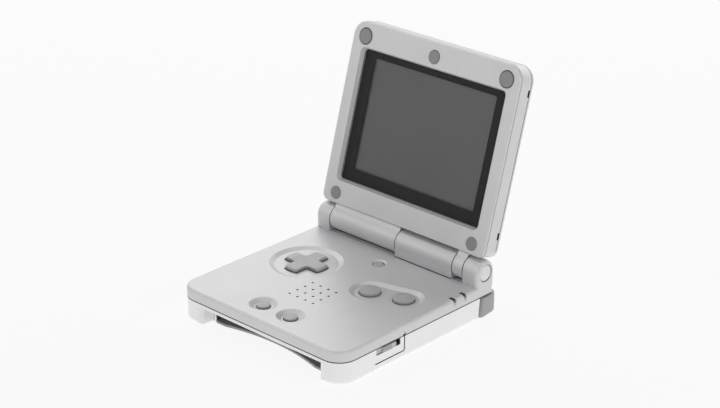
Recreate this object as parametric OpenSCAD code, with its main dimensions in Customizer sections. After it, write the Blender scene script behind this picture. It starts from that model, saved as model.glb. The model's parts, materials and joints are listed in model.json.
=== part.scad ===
// Clamshell handheld game console: a square base with controls, a card slot and a battery bay,
// and a screen lid on a barrel hinge. Millimetres. +X is the player's right, +Y is away from the
// player, +Z is up. The origin is on the rest plane under the middle of the base.

/* [Base case] */
// Width of the case and of the lid
body_w = 82; // [80:0.5:86]
// Depth of the base, front face to rear face
body_d = 82; // [81:0.5:86]
// Height of the deck above the rest plane
deck_z = 13.5; // [13.4:0.1:14.4]
// Height of the parting line between the upper and lower case
part_z = 9.15; // [9:0.05:9.3]
// Plan radius of the two front corners
front_r = 7.5; // [6:0.5:9]
// Plan radius of the two rear corners
rear_r = 2.5; // [2:0.5:3]
// Side wall thickness of the case halves
wall = 1.6; // [1.4:0.1:1.8]
// Thickness of the deck
deck_t = 1.8; // [1.6:0.1:2]
// Rounding along the deck's edge
deck_round = 1.2; // [0.6:0.1:1.6]
// Rounding along the bottom edge
foot_round = 1.9; // [1:0.2:3]
// Width of the groove at a parting line
seam = 0.35; // [0.2:0.05:0.4]
// Depth of the groove at a parting line
seam_depth = 1.1; // [0.6:0.1:1.2]

/* [Card slot] */
// Width of the card slot
slot_w = 54.8; // [50:0.2:55.6]
// Depth of the card slot behind the front face
slot_d = 35; // [30:0.5:36]
// Thickness of the slot's floor
slot_floor = 0.9; // [0.8:0.1:1.2]
// Thickness of the slot's roof
roof_t = 0.65; // [0.5:0.05:0.8]
// Half width of the finger recess between the two front feet
recess_half = 30; // [29.6:0.1:31]
// Depth of the finger recess
recess_d = 6.1; // [5:0.1:8]
// Plan radius of the feet at the recess
recess_r = 3.2; // [2:0.1:4]
// Width of the arch in the slot's floor
arch_w = 46; // [36:0.5:48]
// Depth of the arch in the slot's floor
arch_d = 3.3; // [2.6:0.1:5]

/* [Hinge] */
// Radius of the hinge barrel
barrel_r = 4.9; // [4.7:0.1:5]
// Gap between neighbouring barrel lengths
barrel_gap = 0.4; // [0.3:0.05:0.5]
// Length of each outer knuckle
knuckle_l = 7.1; // [6:0.1:8]
// Left end of the middle barrel, from the middle plane
mid_barrel_x0 = 0.4; // [-3:0.1:3]
// Right end of the middle barrel, from the middle plane
mid_barrel_x1 = 28.4; // [25:0.1:29]
// Radius of the hinge shafts
shaft_r = 2; // [1.6:0.1:2.2]
// Radius of the hollow through the barrels
barrel_bore_r = 3.25; // [3:0.05:3.4]
// Running clearance round a shaft or pin
run_fit = 0.05; // [0.02:0.01:0.08]
// Angle between the deck and the screen face at rest
open_angle = 105.92; // [100:0.5:112]

/* [Lid] */
// Distance of the screen side face from the hinge axis
face_w = 3.5; // [3.3:0.1:3.7]
// Thickness of the lid
lid_t = 9.6; // [9:0.1:10.4]
// Thickness of the lid's outer cover
cover_t = 3.1; // [2.9:0.1:3.4]
// Plan radius of the lid's top corners
lid_top_r = 6; // [4:0.5:7]
// Plan radius of the lid's bottom corners
lid_low_r = 3; // [2:0.5:4]
// Bevel round the screen side face
face_bevel = 0.8; // [0.4:0.1:1.2]
// Rounding round the outer cover
cover_round = 2.8; // [2:0.1:2.9]
// Width of the screen lens
lens_w = 69.8; // [66:0.2:70.4]
// Height of the screen lens
lens_h = 51.2; // [48:0.2:51.6]
// Thickness of the screen lens
lens_t = 0.9; // [0.7:0.1:1.1]
// Depth of the lens below the face
lens_sink = 1.7; // [1.3:0.1:1.9]
// Distance from the hinge axis to the lens centre
lens_v = 40.8; // [40.4:0.1:41.4]
// Width of the slanted border round the lens
lens_border = 0.75; // [0.4:0.05:1]
// Width of the display window
view_w = 60.2; // [58:0.2:62]
// Height of the display window
view_h = 43.6; // [40:0.2:44]

/* [Controls] */
// Direction pad centre
dpad_pos = [-20.44, 4.85];
// Radius of the direction pad's dish at the deck
dpad_dish_r = 14.05; // [13.5:0.05:14.5]
// Length of a direction pad arm from the centre
dpad_arm = 8.8; // [8:0.1:10]
// Width of a direction pad arm
dpad_arm_w = 5.8; // [5:0.1:7]
// Fillet radius between two arms
dpad_fillet = 1.3; // [0.8:0.1:1.6]
// Right action button centre
a_pos = [26.58, 7.2];
// Left action button centre
b_pos = [13.4, 3.45];
// Radius of an action button
action_r = 4; // [3.6:0.1:4.4]
// Radius of the dish round the action buttons
action_dish_r = 7.7; // [7.2:0.1:8]
// Distance of the two menu buttons from the middle plane
menu_x = 6.94; // [6.5:0.05:8]
// Place of the menu buttons along the case
menu_y = -30.73; // [-32:0.1:-29]
// Radius of a menu button
menu_r = 2.6; // [2.4:0.1:3]
// Radius of the dish round a menu button
menu_dish_r = 5.3; // [4.8:0.1:5.6]
// Place of the light button along the case
light_y = 22.5; // [20:0.5:24]
// Radius of the light button
light_r = 2.1; // [1.8:0.1:2.4]
// Radius of the dish round the light button
light_dish_r = 3.4; // [3.2:0.1:3.8]
// Depth of the dishes round the controls
dish_d = 0.85; // [0.7:0.05:1.1]
// Depth of the dishes round the two menu buttons
menu_dish_d = 1.1; // [0.8:0.05:1.2]
// Clearance round a button in its hole
button_gap = 0.25; // [0.2:0.05:0.35]
// Rows and columns of sound holes
sound_n = 4; // [2:1:5]
// Distance between sound holes
sound_pitch = 3.98; // [3:0.1:4.2]
// Radius of a sound hole
sound_r = 0.5; // [0.3:0.05:0.7]
// Place of the sound holes along the case
sound_y = -12.43; // [-14:0.5:-11]

/* [Shoulder buttons] */
// Length of a shoulder button along the rear
shoulder_l = 18.4; // [17:0.2:19.4]
// Distance that the shoulder buttons stand out behind the case
shoulder_out = 3.1; // [1:0.1:3.5]
// Length of a shoulder button along the side of the case
shoulder_side = 7.5; // [6.5:0.1:8]
// Gap in front of a shoulder button
shoulder_gap = 1.2; // [1.1:0.1:1.5]
// How much further forward a shoulder button reaches at its lower edge
shoulder_lean = 1; // [0:0.1:1.5]

/* [Side sliders] */
// Front end of a slider's opening, behind the front face
slider_y0 = 18.6; // [17:0.2:20]
// Length of a slider's opening
slider_l = 12.3; // [11:0.1:13]
// Length of a slider's knob
knob_l = 9.2; // [8:0.1:9.3]
// Height of a slider's opening
slider_h = 2.6; // [2.2:0.1:2.8]

/* [Battery] */
// Width of the battery
battery_w = 46; // [40:0.5:46.5]
// Thickness of the battery cover
battery_cover_t = 1.2; // [1:0.1:1.4]

/* [Hidden] */

$fn = 64;
hull_fn = 32;
over = 1;            // how far a cutting shape runs past what it cuts
half_w = body_w / 2;
front_y = -body_d / 2;
rear_y = body_d / 2;
bottom_inset = 0.2;  // the lower case stands this far inside the upper one
inner_bevel = 3.4;   // corner bevel of the hollows inside the case
clear = 0.3;         // clearance between pieces that move past each other
fit = 0.1;           // clearance round a piece that sits in a pocket

// Heights of what is stacked inside the base
deck_under = deck_z - deck_t;
board_t = 0.8;
board_top = part_z;
board_z = board_top - board_t;
slot_top = board_z - roof_t;
membrane_t = 0.4;
membrane_top = board_top + membrane_t;
flange_t = 0.7;
flange_top = deck_under - 0.4;
flange_z = flange_top - flange_t;
dome_h = flange_z - board_top - 0.15;
flange_over = 1.2;   // how far a button's flange reaches past its cap
dish_run = 1.95;     // width of the slope round a dish

// Hinge
hinge_y = rear_y - barrel_r - 0.24;
hinge_z = deck_z + barrel_r - 0.18;
apron_front = barrel_r - 0.13;
apron_rear = barrel_r;
knuckle_x = half_w - knuckle_l;
cap_r = 3.15;
cap_t = 1.6;
cap_ring = 0.3;      // open ring round a cap
cap_ring_t = 0.9;
lid_left_x0 = -knuckle_x + barrel_gap;
lid_left_x1 = mid_barrel_x0 - barrel_gap;
lid_right_x0 = mid_barrel_x1 + barrel_gap;
lid_right_x1 = knuckle_x - barrel_gap;
pin_end_x = lid_left_x0 + 4.5;
clutch_l = 13;

// Lid, in its own frame: X, distance from the axis towards the lid's top edge, and distance out of
// the screen side face
lid_v0 = barrel_r + 0.4;
lid_v1 = hinge_y - front_y;
back_w = face_w - lid_t;
split_w = back_w + cover_t;
lid_wall = 1.5;
lens_top = face_w - lens_sink;
lens_w0 = lens_top - lens_t;
ledge = 1.9;         // width of the ledge that the lens sits on
frame_top = 0;
view_v = lens_v + 1.1;
lcd_frame_half = lens_w / 2 + 0.5;
lens_low = lens_v - lens_h / 2;
lens_high = lens_v + lens_h / 2;
pad_top_x = half_w - 6.4;
pad_low_x = half_w - 6.65;
pad_top_v = (lens_high + lid_v1) / 2 - 0.52;
pad_low_v = (lid_v0 + lens_low) / 2 - 0.85;
lcd_frame_v0 = (lens_low + pad_low_v) / 2 + 1.3;
lcd_frame_v1 = (lens_high + pad_top_v) / 2 - 0.75;
pad_r = 2.95;
pad_small_r = 2.5;
pad_out = 0.4;
pad_t = 1.5;
lid_screw_r = 0.8;

// Case screws, battery screw and their posts
case_screw_r = 0.95;
case_head_r = 1.8;
screw_fit = 0.05;
head_z = 2;
screw_front = [half_w - 5.4, front_y + 5.6];
screw_side = [half_w - 4.2, 13.5];
screw_rear = [18.6, rear_y - 3.4];

// Battery bay
bay_half = battery_w / 2 + 0.6;
bay_y0 = front_y + slot_d + 8.6;
bay_y1 = rear_y - 7.2;    // leaves the room for the sockets
battery_d = bay_y1 - bay_y0 - 1.2;
ear_y = screw_side[1];
ear_x = -bay_half - 2.8;
ear_r = 2.8;

// Shoulder buttons
shoulder_y0 = rear_y - shoulder_side;
shoulder_x0 = half_w - shoulder_l;
shoulder_z0 = 0.4;
shoulder_z1 = part_z - 0.6;
shoulder_cut_y = shoulder_y0 - shoulder_gap;
shoulder_cut_x = shoulder_x0 - 0.9;
core_x = half_w - 5.2;
core_y = rear_y - 3.6;
pivot_x = shoulder_x0 + 2.3;
pivot_y = rear_y - 1.2;
pivot_r = 0.8;
ledge_z = 0.6;

// Side sliders
slide_y0 = front_y + slider_y0;
slide_y1 = slide_y0 + slider_l;
slide_z0 = part_z - slider_h;
knob_y0 = slide_y0 + clear;
track_x = half_w - wall - 0.3;
switch_x = track_x - 2.2;
switch_x0 = (slot_w / 2 + 1.4 + switch_x) / 2;

function arc(r, a0, a1, x, y, n = 5) = [for (i = [0:n]) let (a = a0 + (a1 - a0) * i / n)
    [x + r * cos(a), y + r * sin(a)]];

// ---------- shared shapes ----------

// One corner post of a soft block, with its lower and upper edges rounded
module corner_post(r, h, low, high) {
    rotate_extrude($fn = hull_fn)
        polygon(concat([[0, 0]],
            low > 0 ? arc(low, -90, 0, r - low, low) : [[r, 0]],
            high > 0 ? arc(high, 0, 90, r - high, h - high) : [[r, h]],
            [[0, h]]));
}

// A block with rounded plan corners and rounded edges
module soft_block(half, y0, y1, h, r0, r1, low, high) {
    hull()
        for (s = [-1, 1]) {
            translate([s * (half - r0), y0 + r0, 0]) corner_post(r0, h, low, high);
            translate([s * (half - r1), y1 - r1, 0]) corner_post(r1, h, low, high);
        }
}

// A straight walled hollow with bevelled corners
module hollow(half, y0, y1, z0, z1, c) {
    translate([0, 0, z0])
        linear_extrude(z1 - z0)
            polygon([[-half + c, y0], [half - c, y0], [half, y0 + c], [half, y1 - c],
                [half - c, y1], [-half + c, y1], [-half, y1 - c], [-half, y0 + c]]);
}

// A box between two opposite corners
module box(a, b) {
    translate(a) cube([b[0] - a[0], b[1] - a[1], b[2] - a[2]]);
}

module both_sides() {
    children();
    mirror([1, 0, 0]) children();
}

// A rod along X
module rod(x0, x1, r) {
    translate([x0, hinge_y, hinge_z]) rotate([0, 90, 0]) cylinder(h = x1 - x0, r = r);
}

// The lid's own frame, turned to the rest pose
module lid_frame() {
    translate([0, hinge_y, hinge_z]) rotate([180 - open_angle, 0, 0]) children();
}

// A conical dish sunk into the deck
module dish(pos, r, depth = dish_d) {
    translate([pos[0], pos[1], deck_z - depth]) cylinder(h = depth, r1 = r - dish_run, r2 = r);
    translate([pos[0], pos[1], deck_z - 0.001]) cylinder(h = over, r = r);
}

// A round button cap with a domed top, a flange below the deck and a hollow for the rubber dome
module round_button(pos, r, top, dome_r) {
    edge = 0.4;
    difference() {
        translate([pos[0], pos[1], flange_z])
            rotate_extrude()
                polygon(concat([[0, 0], [r + flange_over, 0], [r + flange_over, flange_t],
                    [r, flange_t]],
                    arc(edge, 0, 75, r - edge, top - flange_z - edge, 4),
                    [[r * 0.45, top - flange_z + 0.14], [0, top - flange_z + 0.18]]));
        translate([pos[0], pos[1], flange_z - over])
            cylinder(h = over + dome_h + 0.6, r = dome_r + clear);
    }
}

// A sheet of rubber under round buttons, with a dome for each
module rubber_sheet(posts, r, dome_r) {
    for (p = posts) {
        translate([p[0], p[1], board_top]) cylinder(h = membrane_t, r = r);
        translate([p[0], p[1], board_top]) cylinder(h = dome_h, r1 = dome_r, r2 = dome_r * 0.75);
    }
}

// The direction pad's cross outline, with arched arm ends and a fillet between two arms
module cross_outline(arm, arm_w, fillet) {
    intersection() {
        circle(r = arm);
        union() {
            square([2 * arm, arm_w], center = true);
            square([arm_w, 2 * arm], center = true);
            for (a = [0, 90, 180, 270])
                rotate(a)
                    translate([arm_w / 2, arm_w / 2])
                        difference() {
                            square(fillet);
                            translate([fillet, fillet]) circle(r = fillet, $fn = hull_fn);
                        }
        }
    }
}

// ---------- base case ----------

module case_outline_hull(inset, z0, z1, low, high) {
    translate([0, 0, z0])
        soft_block(half_w - inset, front_y + inset, rear_y - inset, z1 - z0,
            front_r - inset, rear_r - inset * 0.5, low, high);
}

// Section of a fixed barrel length: a round barrel on a straight apron
module barrel_section(inset = 0) {
    translate([hinge_y, hinge_z]) circle(r = barrel_r - inset);
    translate([hinge_y - apron_front + inset, deck_under + 0.2])
        square([apron_front + apron_rear - 2 * inset, hinge_z - deck_under - 0.2]);
}

module along_x(x0, x1) {
    translate([x0, 0, 0]) rotate([90, 0, 90]) linear_extrude(x1 - x0) children();
}

// The outer knuckle on the right, with its rounded end
module knuckle() {
    end = 2;
    rim = 1.35;
    hull()
        for (a = [0, 30, 60, 90])
            along_x(knuckle_x, half_w - end * (1 - sin(a)))
                barrel_section(rim * (1 - cos(a)), $fn = hull_fn);
}

module screw_posts(z0, z1, r) {
    both_sides()
        for (p = [screw_front, screw_side, screw_rear])
            translate([p[0], p[1], z0]) cylinder(h = z1 - z0, r = r);
}

module sound_holes() {
    first = (sound_n - 1) / 2;
    for (i = [0:sound_n - 1], j = [0:sound_n - 1])
        translate([(i - first) * sound_pitch, sound_y + (j - first) * sound_pitch, deck_under - over])
            cylinder(h = deck_t + 2 * over, r = sound_r, $fn = 24);
}

// Opening in the side wall for a slider, on the right, with more room behind a thin skin
module slider_opening() {
    box([track_x - 0.05, slide_y0, slide_z0], [half_w + over, slide_y1, part_z + over]);
    box([track_x - 0.05, slide_y0 - 0.8, slide_z0], [half_w - 0.8, slide_y1 + 0.8, part_z + over]);
}

led_y = [18.9, 24.6];
led_half = 0.75;
led_x = half_w - 2.7;

module led_section(inset) {
    r = deck_round;
    polygon([[led_x + inset, deck_under - 0.6 + inset], [half_w - inset, deck_under - 0.6 + inset],
        [half_w - inset, deck_z - r], [half_w - inset - r * 0.28, deck_z - r * 0.3],
        [half_w - r, deck_z - inset], [led_x + inset, deck_z - inset]]);
}

module deck_shell() {
    color("silver")
    difference() {
        union() {
            difference() {
                case_outline_hull(0, part_z, deck_z, 0, deck_round);
                hollow(half_w - wall, front_y + wall, rear_y - wall, part_z - over, deck_under,
                    inner_bevel);
            }
            screw_posts(board_top, deck_under + 0.1, 2.2);
            both_sides() {
                box([pivot_x - 2.2, core_y + 0.2, part_z], [pivot_x + 2.2, rear_y - 0.3,
                    deck_under + 0.1]);
                knuckle();
            }
            along_x(mid_barrel_x0, mid_barrel_x1) barrel_section();
            // ring that holds the speaker
            translate([0, sound_y, deck_under - 1.4])
                difference() {
                    cylinder(h = 1.5, r = speaker_r + 1.1);
                    translate([0, 0, -over]) cylinder(h = 1.5 + 2 * over, r = speaker_r + fit);
                }
        }
        // groove at the parting line
        difference() {
            translate([0, 0, part_z - over])
                linear_extrude(over + seam)
                    square([2 * body_w, 2 * body_d], center = true);
            hollow(half_w - seam_depth, front_y + seam_depth, rear_y - seam_depth,
                part_z - 2 * over, part_z + 2 * over, inner_bevel);
        }
        // hinge bores
        rod(-half_w - over, -knuckle_x + over, shaft_r + run_fit);
        rod(knuckle_x - over, half_w + over, shaft_r + run_fit);
        rod(-half_w - over, -half_w + cap_t, cap_r + run_fit);
        rod(half_w - cap_t, half_w + over, cap_r + run_fit);
        rod(-half_w - over, -half_w + cap_ring_t, cap_r + cap_ring);
        rod(half_w - cap_ring_t, half_w + over, cap_r + cap_ring);
        rod(mid_barrel_x0 - over, mid_barrel_x1 + over, barrel_bore_r);
        // trough that the lid's barrel lengths turn in
        rod(-knuckle_x, mid_barrel_x0, barrel_r + clear);
        rod(mid_barrel_x1, knuckle_x, barrel_r + clear);
        // fine groove in front of the hinge
        hinge_groove(mid_barrel_x0, mid_barrel_x1, apron_front);
        hinge_groove(-knuckle_x, mid_barrel_x0, apron_front - 1.2);
        hinge_groove(mid_barrel_x1, knuckle_x, apron_front - 1.2);
        // dishes and holes for the controls
        dish(dpad_pos, dpad_dish_r);
        translate([dpad_pos[0], dpad_pos[1], deck_under - over])
            linear_extrude(deck_t + over)
                cross_outline(dpad_arm + 0.5, dpad_arm_w + 1, dpad_fillet - 0.5);
        hull() {
            dish(a_pos, action_dish_r, $fn = hull_fn);
            dish(b_pos, action_dish_r, $fn = hull_fn);
        }
        for (p = [a_pos, b_pos])
            translate([p[0], p[1], deck_under - over])
                cylinder(h = deck_t + over, r = action_r + button_gap);
        both_sides() {
            dish([menu_x, menu_y], menu_dish_r, menu_dish_d);
            translate([menu_x, menu_y, deck_under - over])
                cylinder(h = deck_t + over, r = menu_r + button_gap);
        }
        dish([0, light_y], light_dish_r);
        translate([0, light_y, deck_under - over])
            cylinder(h = deck_t + over, r = light_r + button_gap);
        sound_holes();
        // light windows
        for (y = led_y)
            box([led_x, y - led_half, deck_under - 0.6], [half_w + over, y + led_half, deck_z + over]);
        // screw holes and shoulder pin holes
        screw_posts(board_top - over, deck_under - 0.4, case_screw_r + screw_fit);
        both_sides()
            translate([pivot_x, pivot_y, part_z - over])
                cylinder(h = over + 1.4, r = pivot_r + 0.02);
        both_sides() slider_notch();
    }
}

module hinge_groove(x0, x1, front) {
    box([x0, hinge_y - front - 0.32, deck_z - 0.7], [x1, hinge_y - front, deck_z + 0.2]);
}

// Small notch in the upper case behind a side slider, on the right
module slider_notch() {
    translate([half_w - 0.5, slide_y1, part_z])
        rotate([90, 0, 90])
            linear_extrude(0.5 + over)
                polygon([[1, -over], [2.6, -over], [2.6, 1.4], [2.2, 1.4], [1, 0.5]]);
}

// Plan of the finger recess: a straight bay between round feet, and an arch in the slot's floor
module recess_plan() {
    arch_r = (arch_w * arch_w / 4 + arch_d * arch_d) / (2 * arch_d);
    deep_y = front_y + recess_d;
    translate([-recess_half, front_y - over]) square([2 * recess_half, recess_d + over]);
    for (s = [-1, 1])
        difference() {
            translate([s * (recess_half + recess_r / 2), front_y + (recess_r - over) / 2])
                square([recess_r + 0.02, recess_r + over], center = true);
            translate([s * (recess_half + recess_r), front_y + recess_r]) circle(r = recess_r);
        }
    intersection() {
        translate([0, deep_y + arch_d - arch_r]) circle(r = arch_r, $fn = 180);
        translate([-arch_w / 2 - over, deep_y - 0.01]) square([arch_w + 2 * over, arch_d + over]);
    }
}

// Hollows inside the lower case beside the card slot, on the right
module side_hollows() {
    x0 = slot_w / 2 + 1.4;
    x1 = half_w - wall - bottom_inset;
    box([x0, front_y + 9, wall], [x1, screw_side[1] - 4.2, part_z + over]);
    box([bay_half + 3, screw_side[1] + 4.2, wall], [x1, shoulder_cut_y - 1.4, part_z + over]);
}

// Corner of the lower case that a shoulder button fills, on the right
module shoulder_cut() {
    difference() {
        along_x(shoulder_cut_x, half_w + over)
            polygon([[shoulder_cut_y, -over], [rear_y + over, -over], [rear_y + over,
                part_z + over], [shoulder_cut_y + shoulder_lean, part_z + over],
                [shoulder_cut_y, 0]]);
        box([shoulder_cut_x - over, shoulder_cut_y - over, -2 * over],
            [core_x, core_y, part_z + 2 * over]);
        box([shoulder_cut_x - over, core_y - over, -2 * over],
            [pivot_x + 2.2, rear_y - bottom_inset, ledge_z]);
    }
}

module socket_openings() {
    for (s = [link, charge])
        box([s[0] - s[1] / 2 - fit, bay_y1 + 0.6, s[2] - fit],
            [s[0] + s[1] / 2 + fit, rear_y + over, s[2] + s[3] + fit]);
}

module bottom_shell() {
    color("gainsboro")
    difference() {
        case_outline_hull(bottom_inset, 0, part_z, foot_round, 0);
        // seat for the main board
        hollow(half_w - wall, front_y + wall, rear_y - wall, board_z, part_z + over, inner_bevel);
        // finger recess, card slot and connector room
        translate([0, 0, -over]) linear_extrude(slot_top + over) recess_plan();
        box([-slot_w / 2, front_y + wall, slot_floor], [slot_w / 2, front_y + slot_d, slot_top]);
        box([-slot_w / 2, front_y + slot_d - 0.01, slot_floor],
            [slot_w / 2, bay_y0 - 1.4, part_z + over]);
        // guide groove in each wall beside the slot's mouth
        both_sides()
            box([slot_w / 2 + 1, front_y + recess_d - over, -over],
                [slot_w / 2 + 1.9, front_y + recess_d + 0.8, slot_top]);
        both_sides() side_hollows();
        both_sides() shoulder_cut();
        both_sides() slider_opening();
        // battery bay with the seat of its cover
        box([-bay_half, bay_y0, -over], [bay_half, bay_y1, slot_top]);
        translate([ear_x, ear_y, -over]) cylinder(h = battery_cover_t + over + 0.1, r = ear_r + fit);
        box([ear_x, ear_y - ear_r - fit, -over], [0, ear_y + ear_r + fit, battery_cover_t + 0.1]);
        translate([ear_x, ear_y, -over]) cylinder(h = part_z, r = case_screw_r + screw_fit);
        socket_openings();
        screw_posts(-over, head_z, case_head_r + screw_fit * 4);
        screw_posts(-over, part_z + over, case_screw_r + screw_fit);
        both_sides()
            translate([pivot_x, pivot_y, -over]) cylinder(h = 2 * over, r = pivot_r + 0.02);
        // shallow line round each side slider
        both_sides() slider_line();
    }
}

// L-shaped line below and behind a side slider, on the right
module slider_line() {
    y0 = slide_y0 - 0.6;
    y1 = slide_y1 + 2.5;
    low = slide_z0 - 3.5;
    bend = 0.7;
    along_x(half_w - bottom_inset - 0.8, half_w + over)
        polygon([[y0, low], [y1 - bend, low], [y1, low + bend], [y1, part_z + over],
            [y1 - 0.6, part_z + over], [y1 - 0.6, low + bend + 0.2], [y1 - bend - 0.2, low + 0.5],
            [y0, low + 0.5]]);
}

module battery_cover() {
    color("gainsboro")
    difference() {
        union() {
            box([-bay_half + fit, bay_y0 + fit, 0], [bay_half - fit, bay_y1 - fit, battery_cover_t]);
            translate([ear_x, ear_y, 0]) cylinder(h = battery_cover_t, r = ear_r);
            box([ear_x, ear_y - ear_r, 0], [-bay_half + over, ear_y + ear_r, battery_cover_t]);
        }
        translate([ear_x, ear_y, -over]) cylinder(h = 4 * over, r = case_screw_r + screw_fit);
        translate([ear_x, ear_y, -over]) cylinder(h = over + 0.7, r = case_head_r + screw_fit * 2);
        // finger dents
        for (i = [0:3])
            translate([0, bay_y1 - 5 - i * 1.6, 0]) rotate([0, 90, 0])
                cylinder(h = 14, r = 0.4, center = true, $fn = 24);
    }
}

module battery() {
    color("dimgray")
    box([-battery_w / 2, bay_y0 + 0.6, battery_cover_t + 0.05],
        [battery_w / 2, bay_y0 + 0.6 + battery_d, slot_top - 0.1]);
}

module countersunk(x, y, z0, head_t, r, head_r, top) {
    translate([x, y, z0])
        difference() {
            union() {
                cylinder(h = head_t, r = head_r);
                cylinder(h = top - z0, r = r);
            }
            for (a = [0, 90])
                rotate([0, 0, a]) cube([head_r * 1.2, 0.4, 0.7], center = true);
        }
}

module battery_screw() {
    color("darkgray") countersunk(ear_x, ear_y, 0.1, 0.6, case_screw_r, case_head_r, 6);
}

module case_screws() {
    color("darkgray")
    both_sides()
        for (p = [screw_front, screw_side, screw_rear])
            countersunk(p[0], p[1], head_z - 1.2, 1.2, case_screw_r, case_head_r,
                deck_under - 0.5);
}

// ---------- inside the base ----------

speaker_r = 9.5;
speaker_t = 2.1;
link = [-6.5, 11.6, 2.4, 4.6];
charge = [8.5, 8.4, 2.6, 4.2];

module main_board() {
    color("darkgreen")
    difference() {
        hollow(half_w - wall - clear, front_y + wall + clear, rear_y - wall - clear, board_z,
            board_top, inner_bevel);
        both_sides() {
            box([shoulder_cut_x - 1.2, shoulder_cut_y - 1.2, 0], [half_w, rear_y, deck_z]);
            box([track_x - 0.4, slide_y0 - 1, 0], [half_w, slide_y1 + 1, deck_z]);
        }
        screw_posts(0, deck_z, case_screw_r + screw_fit);
    }
}

module processor() {
    color([0.15, 0.15, 0.16]) box([-4.5, 8, board_top], [5.5, 18, board_top + 1.3]);
}

// Card connector hanging from the board at the slot's inner end, with its contact comb
module card_connector() {
    y0 = front_y + slot_d + 0.4;
    comb_pitch = (slot_w - 7) / 15.5;
    color([0.2, 0.2, 0.21])
    difference() {
        box([-slot_w / 2 + 1, y0, slot_floor + 1.2], [slot_w / 2 - 1, bay_y0 - 1.8, board_z]);
        box([-slot_w / 2 + 3, y0 - over, slot_floor + 2.6],
            [slot_w / 2 - 3, y0 + 3.4, slot_floor + 4]);
        for (i = [-7.5:7.5])
            box([i * comb_pitch - 0.3, y0 - over, slot_floor + 2.2],
                [i * comb_pitch + 0.3, y0 + 2, slot_floor + 4.4]);
    }
}

module speaker() {
    color([0.25, 0.25, 0.26])
    translate([0, sound_y, deck_under - speaker_t])
        difference() {
            cylinder(h = speaker_t, r = speaker_r);
            translate([0, 0, speaker_t - 0.9]) cylinder(h = over, r1 = 3, r2 = speaker_r - 1);
        }
}

module power_switch() {
    color([0.3, 0.3, 0.32]) side_switch();
}

module volume_control() {
    color([0.3, 0.3, 0.32]) mirror([1, 0, 0]) side_switch();
}

// Switch body under the board's edge, open along its outer side for the slider's peg
module side_switch() {
    difference() {
        box([switch_x0, slide_y0 - 1.5, board_z - 3.35], [switch_x, slide_y1 + 1.5, board_z]);
        box([(switch_x0 + switch_x) / 2, slide_y0 + 0.4, board_z - 2.25],
            [switch_x + over, slide_y1 - 0.4, board_z - 0.65]);
    }
}

// Slider on the right: knob in the opening, track plate inside the wall and a peg into the switch
module side_slider(ribs) {
    z1 = board_z - 0.25;
    mid = knob_y0 + knob_l / 2;
    step_l = 2.7;
    difference() {
        union() {
            box([track_x - 1, knob_y0 - 1.2, slide_z0 - 0.8],
                [track_x - 0.3, knob_y0 + knob_l, z1]);
            box([track_x - 0.4, knob_y0, slide_z0 + clear],
                [half_w + 0.35, knob_y0 + knob_l, part_z - 0.25]);
            box([switch_x - 1.2, mid - 1, board_z - 1.95],
                [track_x - 0.9, mid + 1, board_z - 0.95]);
        }
        for (i = [0:ribs - 1])
            box([half_w - 0.05, knob_y0 + step_l + 0.5 + i, slide_z0],
                [half_w + over, knob_y0 + step_l + 0.95 + i, part_z]);
        // low step at the front end
        box([half_w - 0.45, knob_y0 - over, slide_z0],
            [half_w + over, knob_y0 + step_l, part_z]);
    }
}

module power_slider() {
    color("gray") side_slider(4);
}

module volume_slider() {
    color("gray") mirror([1, 0, 0]) side_slider(4);
}

// A socket body with an open mouth to the rear and a contact tongue
module socket(s) {
    y1 = rear_y - 0.4;
    difference() {
        box([s[0] - s[1] / 2, bay_y1 + 0.7, s[2]], [s[0] + s[1] / 2, y1, s[2] + s[3]]);
        box([s[0] - s[1] / 2 + 0.8, bay_y1 + 1.4, s[2] + 0.7],
            [s[0] + s[1] / 2 - 0.8, y1 + over, s[2] + s[3] - 0.7]);
    }
    box([s[0] - s[1] / 2 + 2, bay_y1 + 1.3, s[2] + s[3] / 2 - 0.5],
        [s[0] + s[1] / 2 - 2, y1 - 0.8, s[2] + s[3] / 2 + 0.3]);
}

module link_socket() {
    color([0.25, 0.25, 0.27]) socket(link);
}

module charge_socket() {
    color([0.25, 0.25, 0.27]) socket(charge);
}

// ---------- controls ----------

dpad_top = deck_z + 0.45;
dpad_flange_r = dpad_arm + 1.2;
dpad_flange_t = 0.55;
dpad_flange_z = flange_z - 0.2;
post_r = 2;
post_up = 1.1;       // how far the rubber post reaches up into the pad

module dpad() {
    color("gray")
    translate([dpad_pos[0], dpad_pos[1], 0])
        difference() {
            union() {
                translate([0, 0, dpad_flange_z]) cylinder(h = dpad_flange_t, r = dpad_flange_r);
                intersection() {
                    translate([0, 0, dpad_flange_z])
                        linear_extrude(dpad_top - dpad_flange_z)
                            cross_outline(dpad_arm, dpad_arm_w, dpad_fillet);
                    rotate_extrude()
                        polygon(concat([[0, dpad_flange_z], [dpad_arm + 0.1, dpad_flange_z]],
                            arc(0.9, 0, 78, dpad_arm - 0.88, dpad_top - 0.9),
                            [[0, dpad_top]]));
                }
            }
            // shallow thumb hollow
            translate([0, 0, dpad_top + 29.5]) sphere(r = 30, $fn = 96);
            translate([0, 0, dpad_flange_z - over])
                cylinder(h = over + post_up + clear, r = post_r + clear);
        }
}

// Rubber post that the direction pad rocks on
module dpad_post() {
    color("darkslategray")
    translate([dpad_pos[0], dpad_pos[1], membrane_top + clear])
        cylinder(h = dpad_flange_z + post_up - membrane_top - clear, r = post_r);
}

module dpad_membrane() {
    color("darkslategray")
    translate([dpad_pos[0], dpad_pos[1], board_top])
        cylinder(h = membrane_t, r = dpad_flange_r - 0.5);
}

action_top = deck_z + 0.45;

module a_button() {
    color("gray") round_button(a_pos, action_r, action_top, 2.2);
}

module b_button() {
    color("gray") round_button(b_pos, action_r, action_top, 2.2);
}

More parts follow.
